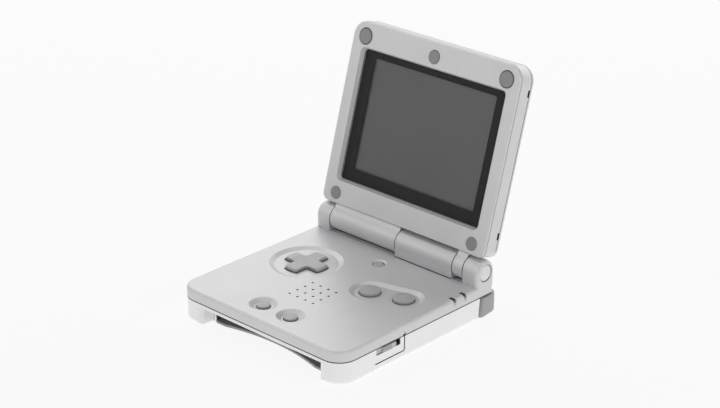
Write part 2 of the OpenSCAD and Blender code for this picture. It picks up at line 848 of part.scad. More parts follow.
module action_membrane() {
    color("darkslategray") {
        rubber_sheet([a_pos, b_pos], action_r + 1.4, 2.2);
        hull()
            for (p = [a_pos, b_pos])
                translate([p[0], p[1], board_top])
                    cylinder(h = membrane_t, r = 3, $fn = hull_fn);
    }
}

menu_top = deck_z - 0.25;

module select_button() {
    color("gray") round_button([-menu_x, menu_y], menu_r, menu_top, 1.3);
}

module start_button() {
    color("gray") round_button([menu_x, menu_y], menu_r, menu_top, 1.3);
}

module menu_membrane() {
    color("darkslategray") {
        rubber_sheet([[-menu_x, menu_y], [menu_x, menu_y]], menu_r + 1.4, 1.3);
        box([-menu_x, menu_y - 2, board_top], [menu_x, menu_y + 2, membrane_top]);
    }
}

module light_button() {
    color("gray") round_button([0, light_y], light_r, deck_z - 0.35, 0.9);
}

module light_switch() {
    color([0.2, 0.2, 0.2]) {
        box([-2.6, light_y - 2.6, board_top], [2.6, light_y + 2.6, membrane_top]);
        translate([0, light_y, board_top]) cylinder(h = dome_h, r = 0.9);
    }
}

module led_lenses() {
    color([0.25, 0.3, 0.25])
    for (y = led_y)
        translate([0, y + led_half - 0.05, 0])
            rotate([90, 0, 0])
                linear_extrude(2 * led_half - 0.1) led_section(0.05);
}

// ---------- shoulder buttons ----------

// The right shoulder button: a curved corner shell that turns on a pin at its inner end
module shoulder_button() {
    h = shoulder_z1 - shoulder_z0;
    edge = 0.6;
    corner = 4.5;
    front = 1.6;
    difference() {
        translate([0, 0, shoulder_z0])
            hull() {
                translate([half_w - corner, rear_y + shoulder_out - corner, 0])
                    corner_post(corner, h, 1.4, 1);
                translate([half_w - front, shoulder_y0 + front, 0])
                    corner_post(front, 2, edge, 0);
                translate([half_w - front, shoulder_y0 + front + shoulder_lean, h - 2])
                    corner_post(front, 2, 0, edge);
                translate([shoulder_x0 + 7, rear_y + shoulder_out - 3, 0])
                    corner_post(2.2, h, edge, edge);
                translate([shoulder_x0 + 1.2, rear_y - 0.9, 0]) corner_post(1.2, h, edge, edge);
                translate([shoulder_x0 + 3, rear_y - 2.2, 0]) corner_post(1, h, edge, edge);
            }
        // room for the case's corner inside the button
        box([pivot_x + 2.4, shoulder_y0 - over, -over],
            [half_w - 3.4, rear_y - 1.6, deck_z]);
        box([shoulder_x0 - over, shoulder_y0 - over, -over],
            [pivot_x + 3, rear_y - 2.9, deck_z]);
        translate([pivot_x, pivot_y, -over]) cylinder(h = deck_z, r = pivot_r + run_fit);
        translate([pivot_x, pivot_y, shoulder_z1 - 1.4]) cylinder(h = 3, r = 1.55 + clear);
        // room for the case's ledge under the pivot
        box([shoulder_x0 - over, shoulder_y0 - over, -over],
            [pivot_x + 3, rear_y + 0.3, ledge_z + clear]);
    }
}

module shoulder_right() {
    color("gray") shoulder_button();
}

module shoulder_left() {
    color("gray") mirror([1, 0, 0]) shoulder_button();
}

module shoulder_pins() {
    color("lightgray")
    both_sides()
        translate([pivot_x, pivot_y, 0.1]) cylinder(h = part_z + 1.2, r = pivot_r);
}

// Coil round each shoulder pin, as a plain ring
module shoulder_springs() {
    color("lightgray")
    both_sides()
        translate([pivot_x, pivot_y, shoulder_z1 - 1.3])
            difference() {
                cylinder(h = 1.7, r = 1.5);
                translate([0, 0, -over]) cylinder(h = 4, r = pivot_r + 0.1);
            }
}

module shoulder_switches() {
    color([0.3, 0.3, 0.32])
    both_sides()
        box([core_x - 6, core_y, 3], [core_x - 2.5, core_y + 0.8, 6]);
}

// ---------- hinge ----------

module hinge_pin() {
    color("lightgray") rod(-half_w + cap_t + fit, pin_end_x, shaft_r);
}

// Friction clutch in the middle barrel, with its shaft through the lid and the right knuckle
module hinge_clutch() {
    color("lightgray") {
        rod(mid_barrel_x1 - clutch_l, mid_barrel_x1, barrel_bore_r - run_fit);
        rod(mid_barrel_x1 - over, half_w - cap_t - fit, shaft_r);
    }
}

module hinge_cap() {
    translate([half_w, hinge_y, hinge_z])
        rotate([0, 90, 0])
            rotate_extrude()
                polygon([[0, -cap_t], [cap_r, -cap_t], [cap_r, -0.5], [cap_r - 0.3, -0.2],
                    [1.6, -0.08], [0, -0.05]]);
}

module hinge_cap_right() {
    color("whitesmoke") hinge_cap();
}

module hinge_cap_left() {
    color("whitesmoke") mirror([1, 0, 0]) hinge_cap();
}

// Rolled ribbon cable inside the middle barrel and the lid's left barrel
module flex_cable() {
    color([0.75, 0.5, 0.2])
    difference() {
        rod(pin_end_x + 0.5, mid_barrel_x1 - clutch_l - 0.3, barrel_bore_r - clear);
        rod(pin_end_x - over, mid_barrel_x1, barrel_bore_r - clear - 0.4);
    }
}

// ---------- lid ----------

// Section of the lid's barrel and of the neck that carries it
module neck_section() {
    circle(r = barrel_r);
    polygon([[0, -barrel_r + 0.1], [lid_v0 + 2.4, back_w + 0.25], [lid_v0 + 2.4, split_w],
        [lid_v0, split_w], [lid_v0, face_w - face_bevel - 0.1], [0, barrel_r - 0.1]]);
}

module lid_rod(x0, x1, r) {
    translate([x0, 0, 0]) rotate([0, 90, 0]) cylinder(h = x1 - x0, r = r);
}

module lid_screw_places() {
    for (p = [[pad_top_x, pad_top_v], [pad_low_x, pad_low_v]])
        both_sides() translate([p[0], p[1], 0]) children();
    translate([0, pad_top_v, 0]) children();
}

// Relief in the lid's lower edge behind the middle barrel
module barrel_relief() {
    box([lid_left_x1, 0, back_w - over], [lid_right_x0, lid_v0 + 0.4, face_w + over]);
}

module lid_cover() {
    color("silver")
    lid_frame()
        difference() {
            union() {
                difference() {
                    translate([0, 0, back_w])
                        soft_block(half_w, lid_v0, lid_v1, cover_t, lid_low_r, lid_top_r,
                            cover_round, 0);
                    hollow(half_w - lid_wall, lid_v0 + lid_wall, lid_v1 - lid_wall,
                        back_w + lid_wall, split_w + over, 2.6);
                }
                for (x = [[lid_left_x0, lid_left_x1], [lid_right_x0, lid_right_x1]])
                    along_x(x[0], x[1]) neck_section();
                lid_screw_places()
                    translate([0, 0, back_w + 1]) cylinder(h = cover_t - 1, r = 2.4);
            }
            // groove at the parting line
            difference() {
                translate([0, 0, split_w - 0.22]) linear_extrude(over)
                    translate([-body_w, lid_v0 + 2.6]) square([2 * body_w, 2 * body_d]);
                hollow(half_w - seam_depth, 0, lid_v1 - seam_depth, -20, 20, 2.6);
            }
            barrel_relief();
            // bores: wide for the cable on the left, running fit on the two shafts
            lid_rod(pin_end_x, lid_left_x1 + over, barrel_bore_r);
            lid_rod(lid_left_x0 - over, pin_end_x + over, shaft_r + run_fit);
            lid_rod(lid_right_x0 - over, lid_right_x1 + over, shaft_r + run_fit);
            lid_screw_places()
                translate([0, 0, back_w + 1.3]) cylinder(h = cover_t, r = lid_screw_r + 0.02);
        }
}

// A flat plate with rounded corners, round the lens centre
module lens_plate(w, h, z0, z1, r) {
    hull()
        for (sx = [-1, 1], sy = [-1, 1])
            translate([sx * (w / 2 - r), lens_v + sy * (h / 2 - r), z0])
                cylinder(h = z1 - z0, r = r, $fn = hull_fn);
}

module lid_bezel() {
    gap = 0.05;
    color("silver")
    lid_frame()
        difference() {
            translate([0, 0, split_w])
                soft_block(half_w, lid_v0, lid_v1, face_w - split_w, lid_low_r, lid_top_r, 0,
                    face_bevel);
            // hollow behind the face, with a post left for each screw
            difference() {
                hollow(half_w - lid_wall, lid_v0 + lid_wall, lid_v1 - lid_wall,
                    split_w - over, frame_top, 2.6);
                lid_screw_places()
                    translate([0, 0, split_w - over]) cylinder(h = 10, r = 2.4);
            }
            // window, lens seat and the slanted border above it
            box([-lens_w / 2 + ledge, lens_low + ledge, split_w],
                [lens_w / 2 - ledge, lens_high - ledge, face_w]);
            lens_plate(lens_w + 2 * gap, lens_h + 2 * gap, lens_w0, face_w, 1.5);
            hull() {
                lens_plate(lens_w + 2 * gap, lens_h + 2 * gap, lens_top, lens_top + 0.01, 1.5);
                lens_plate(lens_w + 2 * lens_border, lens_h + 2 * lens_border, face_w,
                    face_w + 0.01, 2.2);
            }
            // pad seats and screw holes
            both_sides() {
                translate([pad_top_x, pad_top_v, face_w + pad_out - pad_t])
                    cylinder(h = 3, r = pad_r + 0.4);
                translate([pad_low_x, pad_low_v, face_w + pad_out - pad_t])
                    cylinder(h = 3, r = pad_small_r + 0.08);
            }
            translate([0, pad_top_v, face_w + pad_out - pad_t])
                cylinder(h = 3, r = pad_small_r + 0.2);
            lid_screw_places() {
                translate([0, 0, split_w - over]) cylinder(h = 10, r = lid_screw_r + screw_fit);
                translate([0, 0, face_w + pad_out - pad_t - 1.1]) cylinder(h = 2, r = 1.6);
            }
            // latch slots in the side walls
            both_sides()
                for (v = [lid_v0 + 7.2, lid_v1 - 10.9])
                    box([half_w - lid_wall - over, v, split_w - over], [half_w + over, v + 2.7,
                        split_w + 0.95]);
            // fine crease along the foot of the bevel
            difference() {
                translate([-body_w, 0, face_w - face_bevel - 0.12])
                    cube([2 * body_w, 2 * body_d, 0.25]);
                translate([0, 0, face_w - face_bevel - over])
                    soft_block(half_w - 0.25, lid_v0 + 0.25, lid_v1 - 0.25, 2 * over,
                        lid_low_r - 0.25, lid_top_r - 0.25, 0, 0);
            }
            barrel_relief();
        }
}

module screen_lens() {
    color([0.1, 0.1, 0.11])
    lid_frame() lens_plate(lens_w, lens_h, lens_w0, lens_top, 1.45);
}

module light_guide() {
    color([0.7, 0.75, 0.75])
    lid_frame()
        box([-lens_w / 2 + ledge + fit, lens_low + ledge + fit, frame_top],
            [lens_w / 2 - ledge - fit, lens_high - ledge - fit, lens_w0 - 0.05]);
}

module lcd_panel() {
    color([0.35, 0.35, 0.35])
    lid_frame()
        box([-view_w / 2 - 3, view_v - view_h / 2 - 2.4, frame_top - 2.1],
            [view_w / 2 + 3, view_v + view_h / 2 + 1.4, frame_top]);
}

// Carrier behind the bezel that holds the panel, with a connector board along its lower edge
module lcd_frame() {
    color([0.2, 0.2, 0.2])
    lid_frame()
        difference() {
            box([-lcd_frame_half, lcd_frame_v0, split_w - 1.2],
                [lcd_frame_half, lcd_frame_v1, frame_top]);
            box([-view_w / 2 - 3 - fit, view_v - view_h / 2 - 2.4 - fit, frame_top - 2.1],
                [view_w / 2 + 3 + fit, view_v + view_h / 2 + 1.4 + fit, frame_top + over]);
        }
}

module lid_screws() {
    color("darkgray")
    lid_frame()
        lid_screw_places()
            rotate([180, 0, 0])
                countersunk(0, 0, -(face_w + pad_out - pad_t - 0.1), 0.9, lid_screw_r, 1.5,
                    -(back_w + 1.4));
}

module pad(x, v, r) {
    color("gray")
    lid_frame()
        translate([x, v, face_w + pad_out - pad_t])
            rotate_extrude()
                polygon([[0, 0], [r, 0], [r, pad_t - 0.25], [r - 0.25, pad_t], [0, pad_t]]);
}

deck_shell();
bottom_shell();
battery_cover();
battery();
battery_screw();
case_screws();
main_board();
processor();
card_connector();
speaker();
dpad();
dpad_post();
dpad_membrane();
a_button();
b_button();
action_membrane();
select_button();
start_button();
menu_membrane();
light_button();
light_switch();
led_lenses();
power_slider();
power_switch();
volume_slider();
volume_control();
link_socket();
charge_socket();
shoulder_left();
shoulder_right();
shoulder_pins();
shoulder_springs();
shoulder_switches();
hinge_pin();
hinge_clutch();
hinge_cap_left();
hinge_cap_right();
flex_cable();
lid_cover();
lid_bezel();
screen_lens();
light_guide();
lcd_panel();
lcd_frame();
lid_screws();
pad(-pad_top_x, pad_top_v, pad_r);  // pad_top_left
pad(pad_top_x, pad_top_v, pad_r);  // pad_top_right
pad(0, pad_top_v, pad_small_r);  // pad_top_middle
pad(-pad_low_x, pad_low_v, pad_small_r);  // pad_low_left
pad(pad_low_x, pad_low_v, pad_small_r);  // pad_low_right
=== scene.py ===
"""Looks of the clamshell handheld game console: camera, light, finishes and small trim."""

import json
import math

import bmesh
import bpy
from mathutils import Matrix, Vector


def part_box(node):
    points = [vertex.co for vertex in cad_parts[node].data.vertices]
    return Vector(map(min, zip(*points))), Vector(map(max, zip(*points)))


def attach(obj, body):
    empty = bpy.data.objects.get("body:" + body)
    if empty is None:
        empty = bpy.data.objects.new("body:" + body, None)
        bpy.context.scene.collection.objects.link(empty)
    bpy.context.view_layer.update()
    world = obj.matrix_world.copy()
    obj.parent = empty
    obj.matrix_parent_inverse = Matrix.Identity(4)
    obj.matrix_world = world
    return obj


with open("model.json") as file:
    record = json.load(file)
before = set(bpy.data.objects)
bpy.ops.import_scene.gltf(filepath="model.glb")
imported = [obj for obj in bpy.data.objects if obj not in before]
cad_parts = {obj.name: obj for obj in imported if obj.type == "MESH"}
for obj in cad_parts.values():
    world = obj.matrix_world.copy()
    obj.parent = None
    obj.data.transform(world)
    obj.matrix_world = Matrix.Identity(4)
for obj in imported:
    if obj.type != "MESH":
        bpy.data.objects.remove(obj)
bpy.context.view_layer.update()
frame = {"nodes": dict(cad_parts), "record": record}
nodes = frame["nodes"]
scene = bpy.context.scene
scene.view_settings.view_transform = "Standard"

MM = 0.001
OPEN_ANGLE = math.radians(105.92)  # between the deck and the lid at rest
LID_TURN = math.pi - OPEN_ANGLE
HINGE = Vector((0, 35.86, 18.22)) * MM

# from the lid's own frame (x, v up the lid, w out of the screen face) to the row frame
LID = Matrix.Translation(HINGE) @ Matrix.Rotation(LID_TURN, 4, "X")
ROW = Matrix.Identity(4)


# ---------- meshes ----------


def new_piece(name, bm, material, body):
    """A mesh piece from bm, in metres in the row frame, that rides on body."""
    mesh = bpy.data.meshes.new(name)
    bm.normal_update()
    bm.to_mesh(mesh)
    bm.free()
    piece = bpy.data.objects.new(name, mesh)
    scene.collection.objects.link(piece)
    mesh.materials.append(material)
    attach(piece, body)
    return piece


def ring_plate(bm, outer, inner, z0, z1, place):
    """A flat plate with a hole between two heights in mm, from two outlines in mm with as many
    points each."""
    count = len(outer)
    rings = []
    for outline, z in ((outer, z0), (outer, z1), (inner, z1), (inner, z0)):
        rings.append([bm.verts.new(place @ Vector((x * MM, y * MM, z * MM))) for x, y in outline])
    for k in range(4):
        a, b = rings[k], rings[(k + 1) % 4]
        for i in range(count):
            j = (i + 1) % count
            bm.faces.new((a[i], a[j], b[j], b[i]))


def rounded(half, y0, y1, r_low, r_high, steps=8):
    """Outline of a rectangle, with corners of radius r_low at its y0 and r_high at its y1."""
    points = []
    for cx, cy, r, start in (
        (half - r_high, y1 - r_high, r_high, 0),
        (-half + r_high, y1 - r_high, r_high, 90),
        (-half + r_low, y0 + r_low, r_low, 180),
        (half - r_low, y0 + r_low, r_low, 270),
    ):
        for k in range(steps + 1):
            angle = math.radians(start + 90 * k / steps)
            points.append((cx + r * math.cos(angle), cy + r * math.sin(angle)))
    return points


def circle(r, count=48):
    """Outline of a circle."""
    angles = [math.tau * k / count for k in range(count)]
    return [(r * math.cos(angle), r * math.sin(angle)) for angle in angles]


def plates(name, rings, material, body):
    """A piece of flat plates with holes. Each of rings gives what ring_plate takes after bm."""
    bm = bmesh.new()
    for ring in rings:
        ring_plate(bm, *ring)
    bmesh.ops.recalc_face_normals(bm, faces=bm.faces)
    return new_piece(name, bm, material, body)


def block(name, low, high, place, material, body):
    """A thin block between two corners in mm."""
    middle = [(a + b) / 2 * MM for a, b in zip(low, high)]
    size = [(b - a) * MM for a, b in zip(low, high)]
    bm = bmesh.new()
    matrix = place @ Matrix.Translation(middle) @ Matrix.Diagonal((*size, 1))
    bmesh.ops.create_cube(bm, size=1, matrix=matrix)
    return new_piece(name, bm, material, body)


# ---------- materials ----------


class Shader:
    """A material with one Principled shader and helpers for the nodes that feed it."""

    def __init__(self, name, **values):
        self.material = bpy.data.materials.new(name)
        self.material.use_nodes = True
        self.tree = self.material.node_tree
        self.main = self.tree.nodes["Principled BSDF"]
        self.coords = self.node("TexCoord").outputs["Object"]
        for socket, value in values.items():
            self.main.inputs[socket.replace("_", " ")].default_value = value

    def node(self, kind, **values):
        made = self.tree.nodes.new("ShaderNode" + kind)
        for key, value in values.items():
            setattr(made, key, value)
        return made

    def link(self, a, b):
        self.tree.links.new(a, b)

    def noise(self, scale, detail=2.0, rough=0.5):
        made = self.node("TexNoise")
        made.inputs["Scale"].default_value = scale
        made.inputs["Detail"].default_value = detail
        made.inputs["Roughness"].default_value = rough
        self.link(self.coords, made.inputs["Vector"])
        return made.outputs["Fac"]

    def spread(self, value, low, high, start=0.3, end=0.7):
        """Maps the range from start to end, by default a noise's, to that from low to high."""
        made = self.node("MapRange")
        made.inputs["From Min"].default_value = start
        made.inputs["From Max"].default_value = end
        made.inputs["To Min"].default_value = low
        made.inputs["To Max"].default_value = high
        self.link(value, made.inputs["Value"])
        return made.outputs["Result"]

    def math(self, operation, a, b):
        made = self.node("Math", operation=operation)
        for socket, value in zip(made.inputs, (a, b)):
            if isinstance(value, (int, float)):
                socket.default_value = value
            else:
                self.link(value, socket)
        return made.outputs["Value"]

    def axes(self, vector):
        """The three numbers of a vector."""
        split = self.node("SeparateXYZ")
        self.link(vector, split.inputs["Vector"])
        return split.outputs

    def mapped(self, **values):
        """The coordinates after a Mapping node."""
        made = self.node("Mapping")
        for socket, value in values.items():
            made.inputs[socket].default_value = value
        self.link(self.coords, made.inputs["Vector"])
        return made.outputs["Vector"]

    def tint(self, colour, factor):
        """The colour times a factor from nodes, as the base colour."""
        scale = self.node("VectorMath", operation="SCALE")
        scale.inputs[0].default_value = colour
        self.link(factor, scale.inputs["Scale"])
        self.link(scale.outputs["Vector"], self.main.inputs["Base Color"])

    def gloss(self, value, low, high):
        """The roughness, between low and high by a noise."""
        self.link(self.spread(value, low, high), self.main.inputs["Roughness"])

    def within(self, low, high, place=None):
        """1 inside a box in mm, and 0 outside it. The box lies in the frame that place stands
        for. Without a place, it lies in the row frame and is mirrored about the middle plane."""
        if place:
            back = place.inverted()
            x, y, z = self.axes(self.mapped(Location=back.translation, Rotation=back.to_euler()))
        else:
            x, y, z = self.axes(self.coords)
            x = self.math("ABSOLUTE", x, 0)
        result = 1.0
        for value, a, b in zip((x, y, z), low, high):
            result = self.math("MULTIPLY", result, self.math("GREATER_THAN", value, a * MM))
            result = self.math("MULTIPLY", result, self.math("LESS_THAN", value, b * MM))
        return result

    def bump(self, height, strength, distance):
        made = self.node("Bump")
        made.inputs["Strength"].default_value = strength
        made.inputs["Distance"].default_value = distance
        self.link(height, made.inputs["Height"])
        self.link(made.outputs["Normal"], self.main.inputs["Normal"])


PAINTED_SHADE_SHARE = 0.3  # share of the colour left in each box of painted shade
FOOT_SHADE = 0.25  # share of the colour left at a key's foot, as painted shade
LIT_SIDE = (0.9, 0.99)  # range of the normal's x in which a light pipe's side begins to take its painted highlight
CELL = 0.255 * MM
CELL_GAP = 0.02 * MM


def painted(name, colour, metallic, roughness, flake=0.05, cloud=0.02, shade_boxes=(), place=None):
    """Moulded plastic under fine metallic paint, with flakes, a faint cloud and an orange peel.
    The colour is darkened as painted shade in each box it is given."""
    s = Shader(name, Metallic=metallic)
    fine = s.spread(s.noise(2600, 3, 0.65), 1 - flake, 1 + flake)
    broad = s.spread(s.noise(60, 2), 1 - cloud, 1 + cloud)
    paint = s.math("MULTIPLY", fine, broad)
    for low, high in shade_boxes:
        # painted shade: inside each box the colour falls to a share of itself
        thin = s.spread(s.within(low, high, place), 1, PAINTED_SHADE_SHARE, 0, 1)
        paint = s.math("MULTIPLY", paint, thin)
    s.tint(colour, paint)
    s.gloss(s.noise(900, 3), roughness - 0.04, roughness + 0.05)
    s.bump(s.noise(2200, 3, 0.6), 0.25, 0.03 * MM)
    return s.material


def moulded(name, colour, roughness, grain=1500, depth=0.04, cloud=0.03, specular=0.5, foot=None):
    """Plain moulded plastic or rubber with a spark-eroded grain of a depth in mm. Painted shade
    darkens it towards its foot between the two heights in foot, in mm."""
    s = Shader(name, Specular_IOR_Level=specular)
    fine = s.spread(s.noise(grain * 1.6, 3, 0.6), 1 - cloud, 1 + cloud)
    broad = s.spread(s.noise(80, 2), 1 - cloud * 0.6, 1 + cloud * 0.6)
    shade = s.math("MULTIPLY", fine, broad)
    # painted shade in the gap round a key's foot
    if foot:
        height = s.axes(s.coords)["Z"]
        lift = s.spread(height, FOOT_SHADE, 1, foot[0] * MM, foot[1] * MM)
        shade = s.math("MULTIPLY", shade, lift)
    s.tint(colour, shade)
    s.gloss(s.noise(700, 2), roughness - 0.05, roughness + 0.06)
    s.bump(s.noise(grain, 3, 0.6), 0.3, depth * MM)
    return s.material


def metal(name, colour, roughness, brush=(40, 40, 2600)):
    """Machined or plated metal with fine lines along one direction."""
    s = Shader(name, Metallic=1.0)
    texture = s.node("TexNoise")
    texture.inputs["Scale"].default_value = 1.0
    s.link(s.mapped(Scale=brush), texture.inputs["Vector"])
    lines = texture.outputs["Fac"]
    s.tint(colour, s.spread(lines, 0.9, 1.08))
    s.gloss(lines, roughness - 0.06, roughness + 0.08)
    s.bump(lines, 0.15, 0.02 * MM)
    return s.material


def light_window(name, colour, highlight_colour):
    """Tinted light pipe: dark from above, with a painted highlight in grey on its upright outer
    side.
    """
    s = Shader(name, Roughness=0.4, Specular_IOR_Level=0.15)
    normal_x = s.axes(s.node("NewGeometry").outputs["Normal"])["X"]
    mix = s.node("Mix", data_type="RGBA")
    mix.inputs["A"].default_value = colour
    mix.inputs["B"].default_value = highlight_colour
    # painted highlight on the upright outer side, picked by the normal
    s.link(s.spread(normal_x, 0, 1, *LIT_SIDE), mix.inputs["Factor"])
    s.link(mix.outputs["Result"], s.main.inputs["Base Color"])
    s.bump(s.noise(1500, 3, 0.6), 0.2, 0.01 * MM)
    return s.material


def clear_window(name, colour, least, most):
    """Clear acrylic: a thin veil of colour and gloss that thickens from least, seen square on,
    to most at shallow angles."""
    s = Shader(name, Base_Color=colour)
    s.gloss(s.noise(40, 2), 0.04, 0.09)
    facing = s.math("POWER", s.node("LayerWeight").outputs["Facing"], 4)
    s.link(s.spread(facing, least, most, 0, 1), s.main.inputs["Alpha"])
    return s.material


def display(name, colour):
    """A switched-off liquid crystal panel: a fine grid of cells over grey."""
    s = Shader(name, Roughness=0.35, Specular_IOR_Level=0.3)
    cells = s.node("TexBrick", offset=0.0)
    for socket, value in (
        ("Scale", 1.0),
        ("Brick Width", CELL),
        ("Row Height", CELL),
        ("Mortar Size", CELL_GAP),
        ("Color1", (1, 1, 1, 1)),
        ("Color2", (0.97, 0.97, 0.97, 1)),
        ("Mortar", (0.9, 0.9, 0.9, 1)),
    ):
        cells.inputs[socket].default_value = value
    s.link(s.mapped(Rotation=(-LID_TURN, 0, 0)), cells.inputs["Vector"])
    broad = s.spread(s.noise(30, 2), 0.97, 1.03)
    s.tint(colour, s.math("MULTIPLY", cells.outputs["Color"], broad))
    return s.material


def board(name, colour):
    """Lacquered circuit board with brighter tracks under the lacquer."""
    s = Shader(name, Coat_Weight=0.4, Coat_Roughness=0.2)
    tracks = s.node("TexVoronoi", feature="DISTANCE_TO_EDGE")
    tracks.inputs["Scale"].default_value = 420
    s.link(s.coords, tracks.inputs["Vector"])
    s.tint(colour, s.spread(tracks.outputs["Distance"], 1.7, 0.9, 0.0, 0.12))
    s.gloss(s.noise(500), 0.35, 0.5)
    return s.material


# boxes in mm of painted shade inside the case halves, the holes and the hinge trough
DECK_PAINTED_SHADE = (
    ((-1, -40, 8), (36, 40.7, 12.37)),
    ((-1, -34, 8), (40.5, 34, 12.37)),
    ((-1, -24, 8), (36, 40.7, 12.63)),
    ((-1, -19.5, 8), (7.5, -5.5, 13.42)),
    ((-1, 30.5, 8), (33.8, 33.6, 13.4)),
    ((-1, 33.3, 8), (33.8, 36.5, 13.6)),
)
# painted shade inside the card slot, the lower case and the lines by the sliders
BASE_PAINTED_SHADE = (
    ((-1, -35.1, 0.05), (27.6, -5, 7.75)),
    ((-1, -34.7, 1), (27.5, 40.1, 10)),
    ((27.4, -31, 1), (39.5, 40.1, 10)),
    ((39.4, -24, 2), (40.7, -4, 9.2)),
)
# painted shade on the lid's edge over the middle barrel, in the lid's own frame
LID_PAINTED_SHADE = (((0.3, 3.5, -4.0), (28.5, 5.6, 2.5)),)

SILVER_GREY = (0.60, 0.60, 0.61)
PEARL_GREY = (0.81, 0.81, 0.815)
KEY_GREY = (0.45, 0.45, 0.455)

SILVER = painted("silver_paint", SILVER_GREY, 0.15, 0.42, shade_boxes=DECK_PAINTED_SHADE)
SILVER_LID = painted("silver_paint_lid", SILVER_GREY, 0.15, 0.42, shade_boxes=LID_PAINTED_SHADE, place=LID)
PEARL = painted("pearl_plastic", PEARL_GREY, 0.05, 0.40, flake=0.03, cloud=0.015, shade_boxes=BASE_PAINTED_SHADE)
PEARL_COVER = painted("pearl_plastic_cover", PEARL_GREY, 0.05, 0.40, flake=0.03, cloud=0.015)
WHITE = moulded("white_plastic", (0.68, 0.68, 0.68), 0.25, cloud=0.01, depth=0.01)
SLIDER = moulded("slider_plastic", KEY_GREY, 0.46, grain=2400, depth=0.02)
KEY = moulded("key_plastic", KEY_GREY, 0.46, grain=2400, depth=0.02, foot=(12.4, 13.45))
SMALL_KEY = moulded("small_key_plastic", KEY_GREY, 0.46, grain=2400, depth=0.02, foot=(12.2, 13.0))
SHOULDER = moulded("shoulder_plastic", (0.33, 0.33, 0.335), 0.5, grain=2400, depth=0.02)
PAD = moulded("pad_rubber", (0.26, 0.26, 0.265), 0.72, grain=1800, depth=0.05)
# dark rubber, also used for the strips and rings of painted shade in gaps and grooves
DARK_RUBBER_AND_SHADE = moulded("dark_rubber", (0.035, 0.035, 0.037), 0.75)
BLACK = moulded("black_plastic", (0.022, 0.022, 0.023), 0.5)
STEEL = metal("plated_steel", (0.55, 0.55, 0.56), 0.32)
BOARD = board("circuit_board", (0.02, 0.16, 0.07))
LIGHT_PIPE = light_window("light_pipe", (0.035, 0.035, 0.035, 1), (0.45, 0.45, 0.45, 1))
MASK = moulded("lens_mask", (0.025, 0.025, 0.027), 0.5, cloud=0.02, depth=0.005, specular=0.1)
CLEAR = clear_window("clear_lens", (0.01, 0.01, 0.011, 1), 0.12, 0.7)
GUIDE = clear_window("light_guide_acrylic", (0.05, 0.05, 0.05, 1), 0.03, 0.3)
DISPLAY = display("display_panel", (0.235, 0.235, 0.237))
CABLE = moulded("cable_film", (0.5, 0.27, 0.06), 0.35, cloud=0.05)

BY_SLOT = {
    "silver_case": SILVER,
    "pearl_case": PEARL,
    "white_cap": WHITE,
    "key_grey": KEY,
    "shoulder_grey": SHOULDER,
    "pad_rubber": PAD,
    "dark_rubber": DARK_RUBBER_AND_SHADE,
    "black_plastic": BLACK,
    "steel": STEEL,
    "board_green": BOARD,
    "smoked_lens": LIGHT_PIPE,
    "screen_black": CLEAR,
    "clear_plastic": GUIDE,
    "display_grey": DISPLAY,
    "cable_film": CABLE,
}
# nodes with a finish of their own
BY_NODE = {
    "lid_cover": SILVER_LID,
    "lid_bezel": SILVER_LID,
    "battery_cover": PEARL_COVER,
    "select_button": SMALL_KEY,
    "start_button": SMALL_KEY,
    "light_button": SMALL_KEY,
    "power_slider": SLIDER,
    "volume_slider": SLIDER,
}
for part in frame["record"]["subparts"]:
    piece = nodes[part["node"]]
    finish = BY_NODE.get(part["node"], BY_SLOT[part["material_slot"]])
    if not piece.material_slots:
        piece.data.materials.append(finish)
    for slot in piece.material_slots:
        slot.link = "OBJECT"
        slot.material = finish


# ---------- trim, in mm ----------

# printed border on the back of the lens, round the window over the display
LENS_V = 40.8
LENS_HALF_W = 34.85
LENS_HALF_H = 25.55
WINDOW_V = 41.9
WINDOW_HALF_W = 30.1
WINDOW_HALF_H = 21.8
LENS_BACK = 0.9
outer = rounded(LENS_HALF_W, LENS_V - LENS_HALF_H, LENS_V + LENS_HALF_H, 1.4, 1.4, steps=6)
inner = rounded(WINDOW_HALF_W, WINDOW_V - WINDOW_HALF_H, WINDOW_V + WINDOW_HALF_H, 0.3, 0.3, steps=6)
border = (outer, inner, LENS_BACK + 0.02, LENS_BACK + 0.06, LID)
plates("lens_print", [border], MASK, "lid")

# polariser on the face of the display panel
sheet = ((-32.7, 18.0, 0.03), (32.7, 64.2, 0.07))
block("polariser", *sheet, LID, DISPLAY, "lid")

# dark strip of painted shade in the groove between the two case halves
CASE_SEAM_Z = (9.06, 9.49)
outer = rounded(half=40.97, y0=-40.97, y1=40.97, r_low=7.47, r_high=2.47)
inner = rounded(half=40.0, y0=-40.0, y1=40.0, r_low=6.5, r_high=1.6)
strip = (outer, inner, *CASE_SEAM_Z, ROW)
plates("case_seam_shade", [strip], DARK_RUBBER_AND_SHADE, "base")

# dark strip of painted shade in the groove between the two lid halves
LID_SEAM_W = (-3.25, -2.97)
outer = rounded(half=41.02, y0=8.0, y1=76.87, r_low=0.6, r_high=6.0)
inner = rounded(half=40.0, y0=8.9, y1=75.9, r_low=0.2, r_high=5.1)
strip = (outer, inner, *LID_SEAM_W, LID)
plates("lid_seam_shade", [strip], DARK_RUBBER_AND_SHADE, "lid")

# dark strip of painted shade in the crease along the foot of the bezel's bevel
BEVEL_LINE_W = (2.58, 2.88)
outer = rounded(half=40.96, y0=5.34, y1=76.82, r_low=2.96, r_high=5.96)
inner = rounded(half=40.5, y0=5.8, y1=76.3, r_low=2.5, r_high=5.5)
strip = (outer, inner, *BEVEL_LINE_W, LID)
plates("bevel_line_shade", [strip], DARK_RUBBER_AND_SHADE, "lid")

